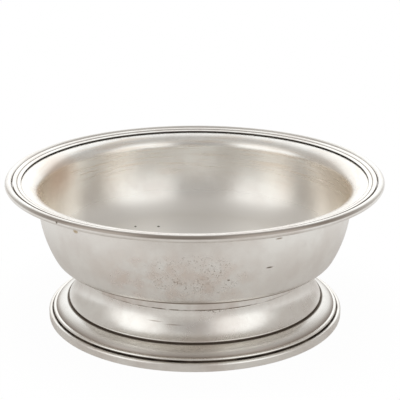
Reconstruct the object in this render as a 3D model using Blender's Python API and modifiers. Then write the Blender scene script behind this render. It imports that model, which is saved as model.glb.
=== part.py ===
"""Footed silver bowl, soldered up from seven turned pieces that stack along the Z axis.

Each piece is a profile in the X-Z half plane, drawn from its own seat at Z = 0 and turned about Z.
The pieces are then set on each other from the base band upwards, a solder seam apart.
"""

import math

import bpy
from mathutils import Vector
from mathutils.geometry import intersect_sphere_sphere_2d

MM = 0.001

# Overall sizes
RIM_DIAMETER = 230.0 * MM
FOOT_DIAMETER = 183.0 * MM
SOLDER_SEAM = 0.3 * MM
TURNING_STEPS = 60
SHARP_ANGLE = math.radians(40.0)

# Base band: the solid wire that the bowl stands on
BASE_BAND_HEIGHT = 5.1 * MM
BASE_BAND_WIDTH = 4.5 * MM
BASE_BAND_ROUND = 0.8 * MM
BASE_BAND_EASE = 0.3 * MM

# Foot moulding: a hollow quarter round between two flat steps
BASE_LEDGE = 2.8 * MM
MOULDING_HEIGHT = 6.3 * MM
MOULDING_WIDTH = 10.0 * MM
MOULDING_LEDGE = 2.0 * MM
MOULDING_LAP = 2.0 * MM
MOULDING_SHEET = 1.0 * MM
FILLET_WIDTH = 1.7 * MM
FILLET_HEIGHT = 1.1 * MM
FILLET_ROUND = 0.4 * MM

# Foot skirt: spun sheet that sweeps in from the moulding to the neck
SKIRT_HEIGHT = 16.75 * MM
SKIRT_FLARE = 8.0 * MM
SKIRT_SHEET = 1.0 * MM

# Neck collar: the short ring that carries the bowl
NECK_HEIGHT = 5.93 * MM
NECK_SHEET = 1.2 * MM

# Bowl body: spun sheet with a domed bottom, a tight knuckle, a full wall and a flared lip
BODY_DEPTH = 46.9 * MM
BOTTOM_CURVE = 420.0 * MM
KNUCKLE_CURVE = 9.5 * MM
WALL_CURVE = 73.0 * MM
LIP_FLARE = 10.0 * MM
FLANGE_WIDTH = 4.7 * MM
BOWL_SHEET = 1.0 * MM

# Rim: a reeded band on the flange, and a round wire along its edge
RIM_BAND_WIDTH = 5.0 * MM
RIM_BAND_EDGE = 0.5 * MM
RIM_BAND_HEIGHT = 1.75 * MM
INNER_REED_WIDTH = 2.4 * MM
INNER_REED_HEIGHT = 1.0 * MM
INNER_REED_CROWN = 0.2 * MM
OUTER_REED_CROWN = 0.3 * MM
RIM_WIRE_DIAMETER = 4.4 * MM
RIM_WIRE_RISE = 0.6 * MM

# Radii that neighbouring pieces share
base_radius = FOOT_DIAMETER / 2
moulding_radius = base_radius - BASE_LEDGE
skirt_radius = moulding_radius - MOULDING_WIDTH
neck_radius = skirt_radius - SKIRT_FLARE
rim_radius = RIM_DIAMETER / 2
flange_radius = rim_radius - RIM_WIRE_DIAMETER - SOLDER_SEAM
body_radius = flange_radius - FLANGE_WIDTH - LIP_FLARE

# Arcs of the bowl's outer face, measured from the lowest point of its bottom.
# The knuckle runs tangent to the wall above it and to the bottom below it.
wall_centre = Vector((body_radius - WALL_CURVE, BODY_DEPTH))
bottom_centre = Vector((0.0, BOTTOM_CURVE))
flare_centre = Vector((body_radius + LIP_FLARE, BODY_DEPTH))
knuckle_centre = max(
    intersect_sphere_sphere_2d(
        wall_centre, WALL_CURVE - KNUCKLE_CURVE, bottom_centre, BOTTOM_CURVE - KNUCKLE_CURVE
    ),
    key=lambda point: point.x,
)
flange_top = BODY_DEPTH + LIP_FLARE + BOWL_SHEET


def direction(start, end):
    """Angle of the line from one point to another, in degrees above +X."""
    return math.degrees(math.atan2(end.y - start.y, end.x - start.x))


wall_end = direction(wall_centre, knuckle_centre)
bottom_end = direction(bottom_centre, knuckle_centre)


def arc(centre, width, height, start, end, steps):
    """Points of an elliptic arc from one angle to another, in degrees, both ends included."""
    points = []
    for step in range(steps + 1):
        angle = math.radians(start + (end - start) * step / steps)
        points.append(Vector((centre.x + width * math.cos(angle), centre.y + height * math.sin(angle))))
    return points


def crown(start, end, rise, steps):
    """Points from one end of a reed to the other, bowed out to its left by the rise."""
    across = end - start
    outwards = Vector((-across.y, across.x)).normalized()
    points = []
    for step in range(steps + 1):
        share = step / steps
        points.append(start + across * share + outwards * rise * 4 * share * (1 - share))
    return points


def base_band_profile():
    """Upright band with a round upper edge, an eased foot and a flat underside."""
    inner = base_radius - BASE_BAND_WIDTH
    round_centre = Vector((base_radius - BASE_BAND_ROUND, BASE_BAND_HEIGHT - BASE_BAND_ROUND))
    ease_centre = Vector((base_radius - BASE_BAND_EASE, BASE_BAND_EASE))
    points = [Vector((inner, BASE_BAND_HEIGHT))]
    points += arc(round_centre, BASE_BAND_ROUND, BASE_BAND_ROUND, 90, 0, 4)
    points += arc(ease_centre, BASE_BAND_EASE, BASE_BAND_EASE, 0, -90, 1)
    points.append(Vector((inner, 0.0)))
    return points


def foot_moulding_profile():
    """Flat ledge, quarter round and square fillet, hollow on the underside."""
    round_centre = Vector((skirt_radius + MOULDING_LEDGE, FILLET_HEIGHT))
    round_width = MOULDING_WIDTH - MOULDING_LEDGE - FILLET_WIDTH
    round_height = MOULDING_HEIGHT - FILLET_HEIGHT
    hollow_width = round_width - MOULDING_SHEET
    hollow_height = round_height - MOULDING_SHEET
    fillet_centre = Vector((moulding_radius - FILLET_ROUND, FILLET_HEIGHT - FILLET_ROUND))
    lap_radius = skirt_radius - MOULDING_LAP
    points = [Vector((lap_radius, MOULDING_HEIGHT))]
    points += arc(round_centre, round_width, round_height, 90, 0, 7)
    points += arc(fillet_centre, FILLET_ROUND, FILLET_ROUND, 90, 0, 2)
    points.append(Vector((moulding_radius, 0.0)))
    points.append(Vector((round_centre.x + hollow_width, 0.0)))
    points += arc(round_centre, hollow_width, hollow_height, 0, 90, 6)
    points.append(Vector((lap_radius, MOULDING_HEIGHT - MOULDING_SHEET)))
    return points


def foot_skirt_profile():
    """Quarter hollow that leaves the neck upright and meets the moulding flat."""
    sweep_centre = Vector((skirt_radius, SKIRT_HEIGHT))
    sweep_height = SKIRT_HEIGHT - SKIRT_SHEET
    points = arc(sweep_centre, SKIRT_FLARE, sweep_height, 180, 270, 8)
    points += arc(sweep_centre, SKIRT_FLARE + SKIRT_SHEET, SKIRT_HEIGHT, 270, 180, 8)
    return points


def bowl_underside(radius):
    """Height of the bowl's outer face over its lowest point, at a radius."""
    bottom_edge = bottom_centre + (knuckle_centre - bottom_centre).normalized() * BOTTOM_CURVE
    knuckle_edge = wall_centre + (knuckle_centre - wall_centre).normalized() * WALL_CURVE
    centre, curve = wall_centre, WALL_CURVE
    if radius < bottom_edge.x:
        centre, curve = bottom_centre, BOTTOM_CURVE
    elif radius < knuckle_edge.x:
        centre, curve = knuckle_centre, KNUCKLE_CURVE
    return centre.y - math.sqrt(curve**2 - (radius - centre.x) ** 2)


def neck_collar_profile():
    """Plain ring whose upper edge is cut to the slope of the bowl's bottom."""
    inner = neck_radius - NECK_SHEET
    inner_height = NECK_HEIGHT + bowl_underside(inner) - bowl_underside(neck_radius)
    return [
        Vector((inner, inner_height)),
        Vector((neck_radius, NECK_HEIGHT)),
        Vector((neck_radius, 0.0)),
        Vector((inner, 0.0)),
    ]


def bowl_face(inset):
    """One face of the bowl's sheet from the edge of the flange to the axis, inset from the outer face."""
    flare = LIP_FLARE + inset
    wall = WALL_CURVE - inset
    knuckle = KNUCKLE_CURVE - inset
    bottom = BOTTOM_CURVE - inset
    points = [Vector((flange_radius, BODY_DEPTH + flare))]
    points += arc(flare_centre, flare, flare, 90, 180, 6)
    points += arc(wall_centre, wall, wall, 0, wall_end, 6)[1:]
    points += arc(knuckle_centre, knuckle, knuckle, wall_end, bottom_end, 5)[1:]
    points += arc(bottom_centre, bottom, bottom, bottom_end, -90, 4)[1:]
    points[-1].x = 0.0
    return points


def bowl_body_profile():
    """Inner face from the axis to the flange, then the outer face back to the axis."""
    return bowl_face(BOWL_SHEET)[::-1] + bowl_face(0.0)


def rim_band_profile():
    """Flat-backed band with a low inner reed and a taller outer reed."""
    inner = flange_radius - RIM_BAND_WIDTH
    inner_edge = Vector((inner, RIM_BAND_EDGE))
    valley = Vector((inner + INNER_REED_WIDTH, INNER_REED_HEIGHT))
    outer_edge = Vector((flange_radius, RIM_BAND_HEIGHT))
    points = crown(inner_edge, valley, INNER_REED_CROWN, 3)
    points += crown(valley, outer_edge, OUTER_REED_CROWN, 3)[1:]
    points.append(Vector((flange_radius, 0.0)))
    points.append(Vector((inner, 0.0)))
    return points


def rim_wire_profile():
    """Round wire, centred on its own height."""
    wire_radius = RIM_WIRE_DIAMETER / 2
    wire_centre = Vector((rim_radius - wire_radius, 0.0))
    return arc(wire_centre, wire_radius, wire_radius, 90, -270, 16)[:-1]


def silver(name, colour, roughness):
    """Bright silver of one colour and polish."""
    material = bpy.data.materials.new(name)
    material.use_nodes = True
    shader = material.node_tree.nodes["Principled BSDF"]
    shader.inputs["Base Color"].default_value = (*colour, 1.0)
    shader.inputs["Metallic"].default_value = 1.0
    shader.inputs["Roughness"].default_value = roughness
    return material


def turned(name, profile, seat, material):
    """A profile turned about Z into a closed piece, set at the height of its seat.

    A profile that starts and ends on the axis is left open, and any other is closed into a ring.
    """
    count = len(profile)
    on_axis = profile[0].x == 0.0
    edges = [(index, (index + 1) % count) for index in range(count - 1 if on_axis else count)]
    outline = bpy.data.meshes.new(name)
    outline.from_pydata([(point.x, 0.0, point.y) for point in profile], edges, [])
    piece = bpy.data.objects.new(name, outline)
    assembly.objects.link(piece)

    screw = piece.modifiers.new("turning", "SCREW")
    screw.axis = "Z"
    screw.angle = math.tau
    screw.steps = TURNING_STEPS
    screw.render_steps = TURNING_STEPS
    screw.use_merge_vertices = True
    screw.merge_threshold = 0.01 * MM

    graph = bpy.context.evaluated_depsgraph_get()
    solid = bpy.data.meshes.new_from_object(piece.evaluated_get(graph))
    solid.name = name
    solid.shade_smooth()
    solid.set_sharp_from_angle(angle=SHARP_ANGLE)
    solid.materials.append(material)
    piece.modifiers.clear()
    piece.data = solid
    bpy.data.meshes.remove(outline)
    piece.location.z = seat
    piece.parent = bowl_root


for old in list(bpy.data.objects):
    bpy.data.objects.remove(old)

assembly = bpy.data.collections.new("footed_silver_bowl")
bpy.context.scene.collection.children.link(assembly)
bowl_root = bpy.data.objects.new("bowl_root", None)
assembly.objects.link(bowl_root)

# Each seat lies a solder seam above the piece below it
moulding_seat = BASE_BAND_HEIGHT + SOLDER_SEAM
skirt_seat = moulding_seat + MOULDING_HEIGHT + SOLDER_SEAM
neck_seat = skirt_seat + SKIRT_HEIGHT + SOLDER_SEAM
bowl_seat = neck_seat + NECK_HEIGHT + SOLDER_SEAM - bowl_underside(neck_radius)
band_seat = bowl_seat + flange_top + SOLDER_SEAM
wire_seat = bowl_seat + flange_top + RIM_WIRE_RISE

bright_silver = (0.80, 0.78, 0.74)
worn_silver = (0.74, 0.72, 0.68)

turned("base_band", base_band_profile(), 0.0, silver("drawn_base_silver", worn_silver, 0.22))
turned("foot_moulding", foot_moulding_profile(), moulding_seat, silver("moulded_silver", worn_silver, 0.20))
turned("foot_skirt", foot_skirt_profile(), skirt_seat, silver("spun_skirt_silver", bright_silver, 0.18))
turned("neck_collar", neck_collar_profile(), neck_seat, silver("collar_silver", worn_silver, 0.22))
turned("bowl_body", bowl_body_profile(), bowl_seat, silver("spun_bowl_silver", bright_silver, 0.18))
turned("rim_band", rim_band_profile(), band_seat, silver("reeded_silver", bright_silver, 0.15))
turned("rim_wire", rim_wire_profile(), wire_seat, silver("drawn_wire_silver", bright_silver, 0.15))
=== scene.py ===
import math
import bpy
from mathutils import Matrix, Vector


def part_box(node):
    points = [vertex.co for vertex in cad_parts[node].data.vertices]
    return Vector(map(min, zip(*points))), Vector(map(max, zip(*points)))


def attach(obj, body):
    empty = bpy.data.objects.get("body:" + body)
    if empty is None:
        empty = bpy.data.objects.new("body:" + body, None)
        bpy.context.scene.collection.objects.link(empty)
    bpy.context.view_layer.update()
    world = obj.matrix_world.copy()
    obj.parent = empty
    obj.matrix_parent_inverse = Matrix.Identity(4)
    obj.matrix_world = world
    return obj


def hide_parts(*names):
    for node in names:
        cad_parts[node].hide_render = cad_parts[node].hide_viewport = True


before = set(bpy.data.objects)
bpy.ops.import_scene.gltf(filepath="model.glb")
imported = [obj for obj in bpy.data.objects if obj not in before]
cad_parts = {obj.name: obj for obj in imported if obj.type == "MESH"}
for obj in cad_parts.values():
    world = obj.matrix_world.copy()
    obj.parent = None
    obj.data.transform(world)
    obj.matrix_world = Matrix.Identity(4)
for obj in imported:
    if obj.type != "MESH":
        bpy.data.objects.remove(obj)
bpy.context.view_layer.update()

from types import SimpleNamespace

import bpy
from mathutils import Vector, geometry

# Base band: the solid drawn wire of sterling silver that the bowl stands on, bent to a ring and
# soldered under the moulding. Tables and polishing cloths have rounded its outer edges.
MM = 0.001
BAND_WIDTH = 4.5 * MM
BAND_SHOULDER = 1.2 * MM
BAND_HEEL = 0.9 * MM
BAND_EASE = 0.35 * MM
ARC_STEPS = 8
TURNS = 256


def eased(outline):
    """An outline whose corners (radius, height, rounding) are turned into small arcs."""
    points = []
    for i, point in enumerate(outline):
        if len(point) == 2:
            points.append(point)
            continue
        here = Vector(point[:2])
        before = (Vector(outline[i - 1][:2]) - here).normalized()
        after = (Vector(outline[(i + 1) % len(outline)][:2]) - here).normalized()
        half = before.angle(after) / 2
        centre = here + (before + after).normalized() * point[2] / math.sin(half)
        first = here + before * point[2] / math.tan(half) - centre
        last = here + after * point[2] / math.tan(half) - centre
        for step in range(ARC_STEPS + 1):
            spoke = first.lerp(last, step / ARC_STEPS).normalized() * point[2]
            points.append(tuple(centre + spoke))
    return points


def turned(name, outline, material, node):
    """An outline turned about Z into one closed piece that takes the place of a CAD node."""
    count = len(outline)
    on_axis = outline[0][0] == 0.0
    edges = [(i, (i + 1) % count) for i in range(count - 1 if on_axis else count)]
    mesh = bpy.data.meshes.new(name)
    mesh.from_pydata([(radius, 0.0, height) for radius, height in outline], edges, [])
    mesh.materials.append(material)
    piece = bpy.data.objects.new(name, mesh)
    bpy.context.scene.collection.objects.link(piece)
    turning = piece.modifiers.new("turning", "SCREW")
    turning.steps = turning.render_steps = TURNS
    turning.use_merge_vertices = True
    turning.merge_threshold = 0.001 * MM
    turning.use_smooth_shade = True
    turning.use_normal_calculate = True
    piece.modifiers.new("crisp edges", "WEIGHTED_NORMAL").weight = 80
    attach(piece, "root")
    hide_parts(node)


def linear(code):
    """Linear RGBA of an sRGB hex colour."""
    shares = [int(code[i : i + 2], 16) / 255 for i in (1, 3, 5)]
    return [s / 12.92 if s <= 0.04045 else ((s + 0.055) / 1.055) ** 2.4 for s in shares] + [1.0]


def add(tree, kind, settings=None, **links):
    """A shader node with its settings, its fixed inputs and the sockets that feed its inputs."""
    made = tree.nodes.new(kind)
    for name, value in (settings or {}).items():
        setattr(made, name, value)
    for name, value in links.items():
        key = int(name[1:]) if name[1:].isdigit() else name.replace("_", " ")
        socket = made.inputs[key]
        if isinstance(value, bpy.types.NodeSocket):
            tree.links.new(value, socket)
        else:
            socket.default_value = value
    return made


# Sterling silver, spun or drawn and then polished by hand. Its colour is a warm white, and a thin
# film of tarnish clouds it and dulls it a little. The polishing lines run around the axis and smear
# reflections across them. They are about 0.1 mm apart and are drawn about ten times as coarse to show.
# Making and use have left the sheet a little wavy.
STERLING = "#F7F6F2"
TARNISH = "#D4C8C0"
CLOUD = 24 * MM
CLOUD_BARE = 0.4
CLOUD_FULL = 0.7
TARNISH_DULLING = 0.08
QUARTER_TURN = 0.25
LINE = 1.1 * MM
LINE_DEPTH = 0.006 * MM
WAVE = 20 * MM
WAVE_DEPTH = 0.09 * MM


def silver(name, roughness, tarnish, smear):
    """A finish of sterling silver: its material, and what more marks on it start from."""
    material = bpy.data.materials.new(name)
    material.use_nodes = True
    tree = material.node_tree
    shader = tree.nodes["Principled BSDF"]
    place = add(tree, "ShaderNodeTexCoord").outputs["Object"]
    across = add(tree, "ShaderNodeVectorMath", {"operation": "MULTIPLY"}, _0=place, _1=(1, 1, 0)).outputs[0]
    radius = add(tree, "ShaderNodeVectorMath", {"operation": "LENGTH"}, _0=across).outputs["Value"]
    height = add(tree, "ShaderNodeSeparateXYZ", Vector=place).outputs["Z"]
    cloud = add(tree, "ShaderNodeTexNoise", Vector=place, Scale=1 / CLOUD, Detail=5.0, Roughness=0.62)
    film = add(
        tree,
        "ShaderNodeMapRange",
        Value=cloud.outputs[0],
        From_Min=CLOUD_BARE,
        From_Max=CLOUD_FULL,
        To_Max=tarnish,
    ).outputs[0]
    tone = add(tree, "ShaderNodeMix", {"data_type": "RGBA"}, _0=film, _6=linear(STERLING), _7=linear(TARNISH))
    dull = add(
        tree, "ShaderNodeMath", {"operation": "MULTIPLY_ADD"}, _0=film, _1=TARNISH_DULLING, _2=roughness
    )
    along = add(tree, "ShaderNodeMath", {"operation": "ADD"}, _0=radius, _1=height).outputs[0]
    lines = add(
        tree, "ShaderNodeTexNoise", {"noise_dimensions": "1D"}, W=along, Scale=1 / LINE, Detail=2.0
    )
    fine = add(tree, "ShaderNodeBump", Distance=LINE_DEPTH, Height=lines.outputs[0])
    waves = add(tree, "ShaderNodeTexNoise", Vector=place, Scale=1 / WAVE, Detail=1.0)
    relief = add(
        tree, "ShaderNodeBump", Distance=WAVE_DEPTH, Height=waves.outputs[0], Normal=fine.outputs[0]
    )
    around = add(tree, "ShaderNodeVectorMath", {"operation": "CROSS_PRODUCT"}, _0=(0, 0, 1), _1=across)
    shader.inputs["Metallic"].default_value = 1.0
    shader.inputs["Anisotropic"].default_value = smear
    shader.inputs["Anisotropic Rotation"].default_value = QUARTER_TURN
    lay = add(tree, "ShaderNodeVectorMath", {"operation": "NORMALIZE"}, _0=around.outputs[0]).outputs[0]
    tree.links.new(lay, shader.inputs["Tangent"])
    tree.links.new(tone.outputs[2], shader.inputs["Base Color"])
    tree.links.new(dull.outputs[0], shader.inputs["Roughness"])
    tree.links.new(relief.outputs[0], shader.inputs["Normal"])
    return SimpleNamespace(
        material=material,
        tree=tree,
        shader=shader,
        place=place,
        across=across,
        radius=radius,
        height=height,
    )


def stain_and_shade(finish, colour, roughness, *limits):
    """Lays a dull colour over a finish inside all its limits, for stains and for painted shade alike: a
    value, where it is bare and where full.
    """
    tree = finish.tree
    share = 1.0
    for value, bare, full in limits:
        inside = add(tree, "ShaderNodeMapRange", Value=value, From_Min=bare, From_Max=full).outputs[0]
        share = add(tree, "ShaderNodeMath", {"operation": "MULTIPLY"}, _0=inside, _1=share).outputs[0]
    tone = finish.shader.inputs["Base Color"]
    under = tone.links[0].from_socket
    mixed = add(tree, "ShaderNodeMix", {"data_type": "RGBA"}, _0=share, _6=under, _7=linear(colour))
    tree.links.new(mixed.outputs[2], tone)
    dull = finish.shader.inputs["Roughness"]
    under = dull.links[0].from_socket
    mixed = add(tree, "ShaderNodeMix", _0=share, _2=under, _3=roughness)
    tree.links.new(mixed.outputs[0], dull)


# The corners of the foot are painted a dark brown that is black in places: old polish and tarnish packed
# there, and painted shade.
POLISH_AND_SHADE_BROWN = "#766B60"
POLISH_AND_SHADE_BLACK = "#453C34"
STAIN_AND_SHADE_ROUGHNESS = 0.6
DARK_PATCH = 14 * MM
BLACK_FROM = 0.42
BLACK_FULL = 0.56

low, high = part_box("base_band")
moulding_low, moulding_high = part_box("foot_moulding")
finish = silver("worn_base_silver", roughness=0.3, tarnish=0.5, smear=0.4)
# The top of the band beside the moulding is painted brown, and black in patches: old polish and painted shade
# in the corner.
corner = (
    (finish.height, high.z - 0.8 * MM, high.z - 0.2 * MM),
    (finish.radius, moulding_high.x + 1.1 * MM, moulding_high.x + 0.6 * MM),
)
patch = add(finish.tree, "ShaderNodeTexNoise", Vector=finish.place, Scale=1 / DARK_PATCH, Detail=2.0)
stain_and_shade(finish, POLISH_AND_SHADE_BROWN, STAIN_AND_SHADE_ROUGHNESS, *corner)
stain_and_shade(finish, POLISH_AND_SHADE_BLACK, STAIN_AND_SHADE_ROUGHNESS, *corner, (patch.outputs[0], BLACK_FROM, BLACK_FULL))
outline = eased([
    (high.x - BAND_WIDTH, high.z, BAND_EASE),
    (high.x, high.z, BAND_SHOULDER),
    (high.x, low.z, BAND_HEEL),
    (high.x - BAND_WIDTH, low.z, BAND_EASE),
])
turned("base_ring", outline, finish.material, "base_band")

# Foot moulding: a ring of sheet silver rolled to a narrow ledge, a quarter round and a small fillet,
# hollow behind. It is soldered on the base band and carries the skirt on its ledge. Both of its
# corners are dark with old polish and painted shade, and the recess above the fillet has painted shade.
low, high = moulding_low, moulding_high
skirt_low, skirt_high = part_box("foot_skirt")
LEDGE = 0.5 * MM
LAP = 2.0 * MM
ROUND_START = 60
ROUND_END = 20
SHEET = 1.0 * MM
FILLET_WIDTH = 1.7 * MM
FILLET_HEIGHT = 1.6 * MM
SHEET_EASE = 0.2 * MM
FILLET_EASE = 0.8 * MM
CORNER_POLISH_AND_SHADE = "#A79D95"
CORNER_POLISH_AND_SHADE_ROUGHNESS = 0.4


def arc(centre, width, height, start, end, steps):
    """Points (radius, height) of an elliptic arc from one angle to another, in degrees."""
    angles = [math.radians(start + (end - start) * i / steps) for i in range(steps + 1)]
    return [(centre[0] + width * math.cos(a), centre[1] + height * math.sin(a)) for a in angles]


SEAM = 0.05 * MM
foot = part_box("base_band")[1].z + SEAM
top = (skirt_high.x + LEDGE, high.z)
brow = (high.x - FILLET_WIDTH, low.z + FILLET_HEIGHT)
start, end = math.radians(ROUND_START), math.radians(ROUND_END)
round_width = (brow[0] - top[0]) / (math.cos(end) - math.cos(start))
round_height = (top[1] - brow[1]) / (math.sin(start) - math.sin(end))
round_centre = (brow[0] - round_width * math.cos(end), brow[1] - round_height * math.sin(end))
outline = eased(
    [(skirt_high.x - LAP, high.z, SHEET_EASE)]
    + arc(round_centre, round_width, round_height, ROUND_START, ROUND_END, 32)
    + [(high.x, brow[1], FILLET_EASE), (high.x, foot, SHEET_EASE)]
    + [(brow[0] - SHEET, foot)]
    + arc(round_centre, round_width - SHEET, round_height - SHEET, ROUND_END, ROUND_START, 24)
    + [(skirt_high.x - LAP, high.z - SHEET, SHEET_EASE)]
)
finish = silver("moulded_foot_silver", roughness=0.24, tarnish=0.3, smear=0.2)
# Painted shade and old polish in the corner of the ledge beside the skirt.
stain_and_shade(finish, POLISH_AND_SHADE_BROWN, STAIN_AND_SHADE_ROUGHNESS, (finish.radius, top[0] + 1.2 * MM, top[0] + 0.4 * MM))
# Painted shade, with old polish, in the recess between the quarter round and the fillet.
stain_and_shade(
    finish,
    CORNER_POLISH_AND_SHADE,
    CORNER_POLISH_AND_SHADE_ROUGHNESS,
    (finish.height, brow[1] + 2.4 * MM, brow[1] + 0.3 * MM),
    (finish.radius, brow[0] + 0.1 * MM, brow[0]),
)
# Painted shade and old polish, black in patches, on the lower face of the fillet.
corner = (finish.height, brow[1] - 0.8 * MM, brow[1] - 1.1 * MM)
patch = add(finish.tree, "ShaderNodeTexNoise", Vector=finish.place, Scale=1 / DARK_PATCH, Detail=2.0)
stain_and_shade(finish, POLISH_AND_SHADE_BROWN, STAIN_AND_SHADE_ROUGHNESS, corner)
stain_and_shade(finish, POLISH_AND_SHADE_BLACK, STAIN_AND_SHADE_ROUGHNESS, corner, (patch.outputs[0], BLACK_FROM, BLACK_FULL))
turned("quarter_round", outline, finish.material, "foot_moulding")

# Foot skirt: sheet silver spun to a hollow sweep that is upright at the neck and leans out to the
# ledge, where its cut edge is soldered in the corner.
low, high = skirt_low, skirt_high
neck_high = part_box("neck_collar")[1]
SWEEP_END = 60
BACK_SHORT = 4
seat = moulding_high.z + SEAM
turn = math.radians(SWEEP_END)
sweep_width = (high.x - neck_high.x) / (1 - math.cos(turn))
sweep_height = (high.z - low.z - SHEET) / math.sin(turn)
sweep = (neck_high.x + sweep_width, high.z)
outline = eased(
    arc(sweep, sweep_width, sweep_height, 180, 180 + SWEEP_END, 64)
    + [(high.x, seat, SHEET_EASE)]
    + arc(sweep, sweep_width + SHEET, sweep_height + SHEET, 180 + SWEEP_END - BACK_SHORT, 180, 40)
)
finish = silver("spun_foot_silver", roughness=0.25, tarnish=0.5, smear=0.0)
# Painted shade and old polish along the foot of the skirt, where it meets the ledge.
stain_and_shade(finish, POLISH_AND_SHADE_BROWN, STAIN_AND_SHADE_ROUGHNESS, (finish.height, low.z + 0.85 * SHEET, low.z + 0.55 * SHEET))


def away(finish, centre, size):
    """Distance from the middle of a mark, as a share of its half sizes, all in millimetres."""
    tree = finish.tree
    middle = Vector(centre) * MM
    half_sizes = Vector(size) * MM
    off = add(tree, "ShaderNodeVectorMath", {"operation": "SUBTRACT"}, _0=finish.place, _1=middle)
    shares = add(tree, "ShaderNodeVectorMath", {"operation": "DIVIDE"}, _0=off.outputs[0], _1=half_sizes)
    return add(tree, "ShaderNodeVectorMath", {"operation": "LENGTH"}, _0=shares.outputs[0]).outputs["Value"]


# A dark run of solder lies under the collar at the front.
SOLDER_AND_SHADE_BROWN = "#8C7B6B"
SOLDER_GRAIN = 3 * MM
grain = add(finish.tree, "ShaderNodeTexNoise", Vector=finish.place, Scale=1 / SOLDER_GRAIN, Detail=3.0)
stain_and_shade(
    finish,
    SOLDER_AND_SHADE_BROWN,
    STAIN_AND_SHADE_ROUGHNESS,
    (grain.outputs[0], 0.48, 0.62),
    (away(finish, (12, -70, 28.4), (10, 8, 1.6)), 1.0, 0.3),
)
# Two fine scratches run side by side across the front.
SCRATCH = "#BFB6AD"
SCRATCH_ROUGHNESS = 0.3
SCRATCH_SIZE = (7, 3, 0.4)
for centre in ((-22.4, -67.9, 21.5), (-11.7, -70.9, 20.4)):
    stain_and_shade(finish, SCRATCH, SCRATCH_ROUGHNESS, (away(finish, centre, SCRATCH_SIZE), 1.0, 0.3))
turned("swept_skirt", outline, finish.material, "foot_skirt")

# Neck collar: a plain ring of sheet silver that joins bowl and foot. Solder fills the seam under it,
# and a thin brown line shows where the solder is short.
high = neck_high
COLLAR_SHEET = 1.2 * MM
COLLAR_EASE = 0.05 * MM
SEAM_GAP = 0.02 * MM
seam = skirt_high.z + SEAM_GAP
outline = eased([
    (high.x - COLLAR_SHEET, high.z - COLLAR_EASE, COLLAR_EASE),
    (high.x, high.z, COLLAR_EASE),
    (high.x, seam, COLLAR_EASE),
    (high.x - COLLAR_SHEET, seam, COLLAR_EASE),
])
finish = silver("soldered_collar_silver", roughness=0.28, tarnish=1.0, smear=0.4)
SEAM_BREAK = 7 * MM
SEAM_STAIN = "#8A7B6C"
breaks = add(finish.tree, "ShaderNodeTexNoise", Vector=finish.place, Scale=1 / SEAM_BREAK, Detail=3.0)
stain_and_shade(
    finish,
    SEAM_STAIN,
    STAIN_AND_SHADE_ROUGHNESS,
    (finish.height, seam + 0.7 * MM, seam + 0.25 * MM),
    (breaks.outputs[0], 0.37, 0.55),
    (away(finish, (0, -70, 29), (66, 50, 20)), 1.0, 0.4),
)
turned("collar_ring", outline, finish.material, "neck_collar")

# Bowl body: one sheet of silver spun to a nearly flat bottom, a tight knuckle, a full wall and a
# flared lip that ends in a flat flange. The sheet is left thicker at the knuckle, so that the inside
# bends more gently.
low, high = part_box("bowl_body")
BOTTOM_CURVE = 420.0 * MM
KNUCKLE = 9.5 * MM
INNER_KNUCKLE = 20.0 * MM
WALL_CURVE = 73.0 * MM
WALL_DEPTH = 10.0 * MM
LIP_FLARE = 10.0 * MM
LIP_DROP = 6.5 * MM
FLANGE_WIDTH = 4.7 * MM
BOWL_SHEET = 1.0 * MM
body_radius = high.x - FLANGE_WIDTH - LIP_FLARE
flange_under = high.z - BOWL_SHEET
flare_centre = Vector((body_radius + LIP_FLARE, flange_under - LIP_DROP))
wall_centre = Vector((body_radius - WALL_CURVE, flange_under - WALL_DEPTH))
bottom_centre = Vector((0.0, low.z + BOTTOM_CURVE))


def bowl_face(inset, knuckle):
    """One face of the sheet from the flange's edge to the axis, inset from the outer face."""
    wall = WALL_CURVE - inset
    bottom = BOTTOM_CURVE - inset
    # The knuckle's centre lies where circles inside the wall's and the bottom's curve cross.
    crossings = geometry.intersect_sphere_sphere_2d(
        wall_centre, wall - knuckle, bottom_centre, bottom - knuckle
    )
    knuckle_centre = max(crossings, key=lambda point: point.x)
    to_wall = knuckle_centre - wall_centre
    to_bottom = knuckle_centre - bottom_centre
    wall_end = math.degrees(math.atan2(to_wall.y, to_wall.x))
    bottom_end = math.degrees(math.atan2(to_bottom.y, to_bottom.x))
    points = arc(flare_centre, LIP_FLARE + inset, LIP_DROP + inset, 90, 180, 40)
    points += arc(wall_centre, wall, wall, 0, wall_end, 64)
    points += arc(knuckle_centre, knuckle, knuckle, wall_end, bottom_end, 32)[1:]
    points += arc(bottom_centre, bottom, bottom, bottom_end, -90, 48)[1:]
    points[-1] = (0.0, points[-1][1])
    return points


inner = bowl_face(BOWL_SHEET, INNER_KNUCKLE)
outer = bowl_face(0.0, KNUCKLE)
outline = eased(
    inner[::-1]
    + [(high.x, high.z, SHEET_EASE), (high.x, high.z - BOWL_SHEET, SHEET_EASE)]
    + outer
)
finish = silver("spun_silver", roughness=0.24, tarnish=0.35, smear=0.85)
flange_radius = high.x

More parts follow.
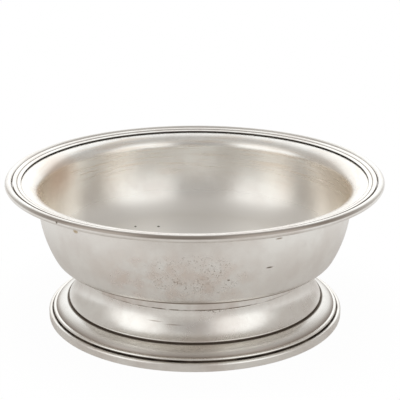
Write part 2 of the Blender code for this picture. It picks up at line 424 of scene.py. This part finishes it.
# Pits pepper the front of the wall. They are finer than the render can show, so their pattern is drawn
# about 1 mm coarse.
PIT = 1.1 * MM
PIT_PATCH = 9 * MM
PIT_STAIN = "#A0968B"
PIT_ROUGHNESS = 0.45
OUTSIDE = 0.02
INSIDE = -0.02
normal = add(finish.tree, "ShaderNodeNewGeometry").outputs["Normal"]
outward = add(
    finish.tree, "ShaderNodeVectorMath", {"operation": "DOT_PRODUCT"}, _0=normal, _1=finish.across
).outputs["Value"]
pits = add(finish.tree, "ShaderNodeTexNoise", Vector=finish.place, Scale=1 / PIT, Detail=1.0).outputs[0]
patches = add(finish.tree, "ShaderNodeTexNoise", Vector=finish.place, Scale=1 / PIT_PATCH, Detail=2.0)
stain_and_shade(
    finish,
    PIT_STAIN,
    PIT_ROUGHNESS,
    (pits, 0.55, 0.66),
    (patches.outputs[0], 0.4, 0.54),
    (away(finish, (-1, -93, 58), (32, 20, 15)), 1.0, 0.3),
    (outward, 0.0, OUTSIDE),
)

# A blush of tarnish lies in soft patches over the front of the wall.
BLUSH = "#EADFD6"
BLUSH_PATCH = 8 * MM
BLUSH_ROUGHNESS = 0.3
blush = add(finish.tree, "ShaderNodeTexNoise", Vector=finish.place, Scale=1 / BLUSH_PATCH, Detail=6.0)
stain_and_shade(
    finish,
    BLUSH,
    BLUSH_ROUGHNESS,
    (blush.outputs[0], 0.4, 0.75),
    (away(finish, (-12, -90, 54), (60, 40, 24)), 1.0, 0.5),
    (outward, 0.0, OUTSIDE),
)

# A thin line of painted shade, in the solder's brown, lies under the knuckle close above the collar.
KNUCKLE_SHADE_LOW = 37.6 * MM
KNUCKLE_SHADE_HIGH = 40.0 * MM
stain_and_shade(
    finish,
    SOLDER_AND_SHADE_BROWN,
    STAIN_AND_SHADE_ROUGHNESS,
    (finish.height, KNUCKLE_SHADE_HIGH, KNUCKLE_SHADE_HIGH - 1.0 * MM),
    (finish.height, KNUCKLE_SHADE_LOW, KNUCKLE_SHADE_LOW + 0.8 * MM),
    (outward, 0.0, OUTSIDE),
)

# Spoons and cloths have dulled the bottom inside with fine scratches.
SCRATCHED = "#F9F7F3"
SCRATCHED_ROUGHNESS = 0.42
upward = add(finish.tree, "ShaderNodeSeparateXYZ", Vector=normal).outputs["Z"]
stain_and_shade(finish, SCRATCHED, SCRATCHED_ROUGHNESS, (finish.height, 52 * MM, 40 * MM), (upward, 0.0, 0.2))

# Single marks of use: a nick, spots and a speck outside, and two specks inside. Each has the face of the
# sheet that it is on, its middle and half sizes in millimetres, and its colour.
MARKED_OUTSIDE = 0.005
MARKED_INSIDE = -0.005
for side, centre, size, colour in (
    (MARKED_OUTSIDE, (41.3, -84.3, 60.6), (2.6, 3.0, 0.6), "#8A8075"),
    (MARKED_OUTSIDE, (46.5, -83.6, 77.3), (2.6, 3.0, 0.6), "#C0B5A9"),
    (MARKED_OUTSIDE, (-66.9, -68.3, 76.1), (2.4, 2.6, 1.3), "#D6C6AD"),
    (MARKED_OUTSIDE, (18.6, -91.0, 55.6), (1.0, 2.0, 0.6), "#9A9086"),
    (MARKED_INSIDE, (-39.7, 54.7, 35.8), (0.9, 1.2, 1.0), "#5C534C"),
    (MARKED_INSIDE, (-24.4, 57.1, 34.9), (1.2, 1.2, 1.0), "#544A42"),
):
    stain_and_shade(finish, colour, PIT_ROUGHNESS, (away(finish, centre, size), 1.0, 0.5), (outward, 0.0, side))

# A warm film lies on the wall inside, at both sides and rosier at the left, with fine streaks of it
# around the upper wall.
WALL_FILM = "#F5EEE4"
ROSY_FILM = "#EBD8C9"
WALL_FILM_ROUGHNESS = 0.24
for side in (-1, 1):
    film = away(finish, (88 * side, 15, 68), (30, 62, 30))
    stain_and_shade(finish, WALL_FILM, WALL_FILM_ROUGHNESS, (film, 1.0, 0.3), (outward, 0.0, INSIDE))
STREAK = "#F0E8DE"
STREAK_ROUGHNESS = 0.3
STREAK_SIZE = Vector((30, 30, 1.4)) * MM
drawn = add(
    finish.tree, "ShaderNodeVectorMath", {"operation": "DIVIDE"}, _0=finish.place, _1=STREAK_SIZE
).outputs[0]
streaks = add(finish.tree, "ShaderNodeTexNoise", Vector=drawn, Scale=1.0, Detail=4.0).outputs[0]
stain_and_shade(
    finish,
    STREAK,
    STREAK_ROUGHNESS,
    (streaks, 0.5, 0.68),
    (finish.height, 58 * MM, 68 * MM),
    (outward, 0.0, INSIDE),
)
rosy = away(finish, (-88, 34, 76), (16, 34, 16))
stain_and_shade(finish, ROSY_FILM, WALL_FILM_ROUGHNESS, (rosy, 1.0, 0.2), (outward, 0.0, INSIDE))
turned("spun_bowl", outline, finish.material, "bowl_body")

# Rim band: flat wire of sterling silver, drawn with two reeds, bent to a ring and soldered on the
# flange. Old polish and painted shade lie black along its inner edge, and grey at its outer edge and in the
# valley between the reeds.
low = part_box("rim_band")[0]
BAND_INNER = flange_radius - 5.0 * MM
EDGE = 0.5 * MM
EDGE_EASE = 0.1 * MM
INNER_BOW = 0.2 * MM
OUTER_BOW = 0.3 * MM
REED_WIDTH = 2.4 * MM
REED_HEIGHT = 1.0 * MM
REED_TOP = low.z + 1.75 * MM
VALLEY_POLISH_AND_SHADE = "#ADA69E"


def reed(start, end, rise, steps):
    """Points from one edge of a reed to the other, bowed up by the rise."""
    start, end = Vector(start), Vector(end)
    across = end - start
    up = Vector((-across.y, across.x)).normalized()
    shares = [i / steps for i in range(steps + 1)]
    return [tuple(start + across * s + up * rise * 4 * s * (1 - s)) for s in shares]


valley = (BAND_INNER + REED_WIDTH, low.z + REED_HEIGHT)
outline = eased(
    [(BAND_INNER, low.z, EDGE_EASE)]
    + reed((BAND_INNER, low.z + EDGE), valley, INNER_BOW, 12)
    + reed(valley, (flange_radius, REED_TOP), OUTER_BOW, 16)[1:]
    + [(flange_radius, low.z, EDGE_EASE)]
)
finish = silver("drawn_band_silver", roughness=0.18, tarnish=0.5, smear=0.85)
# Painted shade and old polish: black at the inner edge, grey at the outer edge and in the valley.
inner_edge = (finish.radius, BAND_INNER + 0.2 * MM, BAND_INNER + 0.05 * MM)
stain_and_shade(finish, POLISH_AND_SHADE_BLACK, STAIN_AND_SHADE_ROUGHNESS, inner_edge)
stain_and_shade(finish, CORNER_POLISH_AND_SHADE, STAIN_AND_SHADE_ROUGHNESS, (finish.radius, flange_radius - 0.2 * MM, flange_radius))
past_valley = add(
    finish.tree, "ShaderNodeMath", {"operation": "SUBTRACT"}, _0=finish.radius, _1=valley[0]
).outputs[0]
from_valley = add(finish.tree, "ShaderNodeMath", {"operation": "ABSOLUTE"}, _0=past_valley).outputs[0]
stain_and_shade(finish, VALLEY_POLISH_AND_SHADE, STAIN_AND_SHADE_ROUGHNESS, (from_valley, 0.35 * MM, 0.15 * MM))
turned("reeded_band", outline, finish.material, "rim_band")

# Rim wire: a round drawn wire of sterling silver that stiffens the bowl's edge, bent to a ring and
# soldered around the flange. Old polish and painted shade lie grey in the groove beside the band, darkest at
# the front.
# Its upper outer face is painted darker at the front, and its top a little darker at the back, as painted
# shade.
low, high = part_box("rim_wire")
wire = (high.z - low.z) / 2
wire_radius = high.x - wire
wire_height = low.z + wire
outline = arc((wire_radius, wire_height), wire, wire, 90, -270, 64)[:-1]
finish = silver("drawn_wire_silver", roughness=0.18, tarnish=0.5, smear=0.85)
depth = add(finish.tree, "ShaderNodeSeparateXYZ", Vector=finish.place).outputs["Y"]
# Painted shade and old polish in the groove beside the band, brown at the front.
groove = (finish.radius, wire_radius - wire + 0.4 * MM, wire_radius - wire + 0.2 * MM)
stain_and_shade(finish, CORNER_POLISH_AND_SHADE, STAIN_AND_SHADE_ROUGHNESS, groove)
stain_and_shade(finish, POLISH_AND_SHADE_BROWN, STAIN_AND_SHADE_ROUGHNESS, groove, (depth, -40 * MM, -90 * MM))
WIRE_FRONT_SHADE = "#ABA29A"
BACK_TOP_SHADE = "#DCD9D4"
WIRE_SPOT = "#8A8278"
WIRE_SHADE_ROUGHNESS = 0.3
SPOT_SIZE = (0.9, 0.9, 0.9)
# Painted shade on the upper outer face of the wire at the front.
stain_and_shade(
    finish,
    WIRE_FRONT_SHADE,
    WIRE_SHADE_ROUGHNESS,
    (finish.radius, wire_radius + 0.9 * MM, wire_radius + 1.4 * MM),
    (finish.height, wire_height + 0.1 * MM, wire_height + 0.6 * MM),
    (depth, -50 * MM, -90 * MM),
)
# Painted shade on the top of the wire at the back.
stain_and_shade(
    finish,
    BACK_TOP_SHADE,
    WIRE_SHADE_ROUGHNESS,
    (finish.height, wire_height + 0.2 * MM, wire_height + 1.2 * MM),
    (depth, 30 * MM, 80 * MM),
)
stain_and_shade(finish, WIRE_SPOT, PIT_ROUGHNESS, (away(finish, (-75, -87.1, 88), SPOT_SIZE), 1.0, 0.5))
turned("edge_wire", outline, finish.material, "rim_wire")

# Floor: matt paper that the camera sees as white, with a very faint shadow around the foot. Metal sees it
# as a grey with a painted shadow close to the bowl and painted shade towards the camera.
FLOOR = 3.0
PAPER = "#BFB5AB"
SHADOW = 0.02
SHADOW_FULL = 90 * MM
SHADOW_END = 160 * MM
DARK_FRONT = Vector((0, -1000, 0)) * MM
DARK_END = 160 * MM
LIT_FROM = 1000 * MM
LIT_IN_METAL = 0.7
NEAR_BOWL = 100 * MM
OPEN_FROM = 300 * MM
NEAR_SHARE = 0.52
FLOOR_GAP = 0.2 * MM
floor_mesh = bpy.data.meshes.new("floor")
corners = [(-FLOOR, -FLOOR, 0), (FLOOR, -FLOOR, 0), (FLOOR, FLOOR, 0), (-FLOOR, FLOOR, 0)]
floor_mesh.from_pydata(corners, [], [(0, 1, 2, 3)])
floor = bpy.data.objects.new("floor", floor_mesh)
bpy.context.scene.collection.objects.link(floor)
floor.location.z = -FLOOR_GAP
paper = bpy.data.materials.new("white_paper")
paper.use_nodes = True
tree = paper.node_tree
tree.nodes.clear()
ray = add(tree, "ShaderNodeLightPath").outputs
spot = add(tree, "ShaderNodeTexCoord").outputs["Object"]
from_bowl = add(tree, "ShaderNodeVectorMath", {"operation": "LENGTH"}, _0=spot).outputs["Value"]
# The paper's glow in metal is painted darker towards the camera and close to the bowl: painted shade and a
# painted shadow.
from_dark = add(tree, "ShaderNodeVectorMath", {"operation": "DISTANCE"}, _0=spot, _1=DARK_FRONT)
lit = add(
    tree,
    "ShaderNodeMapRange",
    {"interpolation_type": "SMOOTHSTEP"},
    Value=from_dark.outputs["Value"],
    From_Min=DARK_END,
    From_Max=LIT_FROM,
    To_Max=LIT_IN_METAL,
)
open_paper = add(
    tree,
    "ShaderNodeMapRange",
    {"interpolation_type": "SMOOTHSTEP"},
    Value=from_bowl,
    From_Min=NEAR_BOWL,
    From_Max=OPEN_FROM,
    To_Min=NEAR_SHARE,
)
in_metal = add(
    tree, "ShaderNodeMath", {"operation": "MULTIPLY"}, _0=lit.outputs[0], _1=open_paper.outputs[0]
)
shown = add(
    tree,
    "ShaderNodeMath",
    {"operation": "MULTIPLY_ADD"},
    _0=ray["Is Glossy Ray"],
    _1=in_metal.outputs[0],
    _2=ray["Is Transmission Ray"],
)
clear = add(
    tree,
    "ShaderNodeMapRange",
    {"interpolation_type": "SMOOTHSTEP"},
    Value=from_bowl,
    From_Min=SHADOW_FULL,
    From_Max=SHADOW_END,
    To_Min=1 - SHADOW,
    To_Max=1.0,
)
seen = add(
    tree,
    "ShaderNodeMath",
    {"operation": "MULTIPLY_ADD", "use_clamp": True},
    _0=ray["Is Camera Ray"],
    _1=clear.outputs[0],
    _2=shown.outputs[0],
)
matt = add(tree, "ShaderNodeBsdfDiffuse", Color=linear(PAPER))
WHITE = (1, 1, 1, 1)
white = add(tree, "ShaderNodeEmission", Color=WHITE, Strength=1.0)
both = add(tree, "ShaderNodeMixShader", _0=seen.outputs[0], _1=matt.outputs[0], _2=white.outputs[0])
add(tree, "ShaderNodeOutputMaterial", Surface=both.outputs[0])
floor_mesh.materials.append(paper)

# Room: warm grey walls that the silver shows, a little darker overhead, paler high up on the camera's
# side and darkest in a doorway behind the camera. A white wall with a lamp stands behind the bowl, and
# a lamp stands at the left and at the right of the camera. The camera itself sees white all round.
ROOM = (0.53, 0.505, 0.48, 1)
OVERHEAD = (0.5, 0.485, 0.47, 1)
CAMERA_SIDE = (0.57, 0.55, 0.525, 1)
DARK_DOORWAY = (0.42, 0.4, 0.385, 1)
BACK_WALL = (1.11, 1.12, 1.12, 1)
BACK_LAMP = (1.34, 1.32, 1.29, 1)
LEFT_LAMP = (1.16, 1.15, 1.13, 1)
RIGHT_LAMP = (1.12, 1.11, 1.09, 1)
world = bpy.data.worlds.new("studio")
bpy.context.scene.world = world
world.use_nodes = True
tree = world.node_tree
tree.nodes.clear()
way = add(tree, "ShaderNodeTexCoord").outputs["Generated"]


def toward(azimuth, elevation):
    """Unit vector at an azimuth from straight behind the bowl and an elevation, in degrees."""
    flat = math.cos(math.radians(elevation))
    turn = math.radians(azimuth)
    return Vector((flat * math.sin(turn), flat * math.cos(turn), math.sin(math.radians(elevation))))


# Each part of the room has its direction, its light, and the angles at which it is full and gone.
shade = ROOM
for direction, colour, full, none in (
    (toward(20, 62), OVERHEAD, 15, 42),
    (toward(180, 64), CAMERA_SIDE, 14, 36),
    (toward(180, 32), DARK_DOORWAY, 8, 28),
    (toward(0, 24), BACK_WALL, 15, 44),
    (toward(0, 20), BACK_LAMP, 4, 13),
    (toward(-120, 16), LEFT_LAMP, 10, 34),
    (toward(-120, 36), LEFT_LAMP, 8, 28),
    (toward(134, 16), RIGHT_LAMP, 12, 36),
    (toward(134, 36), RIGHT_LAMP, 8, 28),
):
    facing = add(tree, "ShaderNodeVectorMath", {"operation": "DOT_PRODUCT"}, _0=way, _1=direction)
    share = add(
        tree,
        "ShaderNodeMapRange",
        {"interpolation_type": "SMOOTHSTEP"},
        Value=facing.outputs["Value"],
        From_Min=math.cos(math.radians(none)),
        From_Max=math.cos(math.radians(full)),
    )
    mixed = add(tree, "ShaderNodeMix", {"data_type": "RGBA"}, _0=share.outputs[0], _6=shade, _7=colour)
    shade = mixed.outputs[2]
camera_ray = add(tree, "ShaderNodeLightPath").outputs["Is Camera Ray"]
mixed = add(tree, "ShaderNodeMix", {"data_type": "RGBA"}, _0=camera_ray, _6=shade, _7=WHITE)
light = add(tree, "ShaderNodeBackground", Color=mixed.outputs[2], Strength=1.0)
add(tree, "ShaderNodeOutputWorld", Surface=light.outputs[0])

# Camera: a long lens in front of the bowl and about 20 degrees above it, at the photograph's viewing
# angle.
CAMERA_PLACE = Vector((0.7, -710.4, 304.8)) * MM
CAMERA_DOWN = 18.127
CAMERA_TURN = -0.2004
LENS = 109.31
SENSOR = 36.0
camera = bpy.data.objects.new("camera", bpy.data.cameras.new("camera"))
bpy.context.scene.collection.objects.link(camera)
camera.location = CAMERA_PLACE
camera.rotation_euler = (math.radians(90 - CAMERA_DOWN), 0.0, math.radians(CAMERA_TURN))
camera.data.lens = LENS
camera.data.sensor_width = SENSOR
bpy.context.scene.camera = camera
bpy.context.scene.view_settings.view_transform = "Standard"

# Light runs around the polished wall in many short steps before it leaves the bowl.
STEPS_OF_LIGHT = 24
bpy.context.scene.cycles.max_bounces = STEPS_OF_LIGHT
bpy.context.scene.cycles.glossy_bounces = STEPS_OF_LIGHT
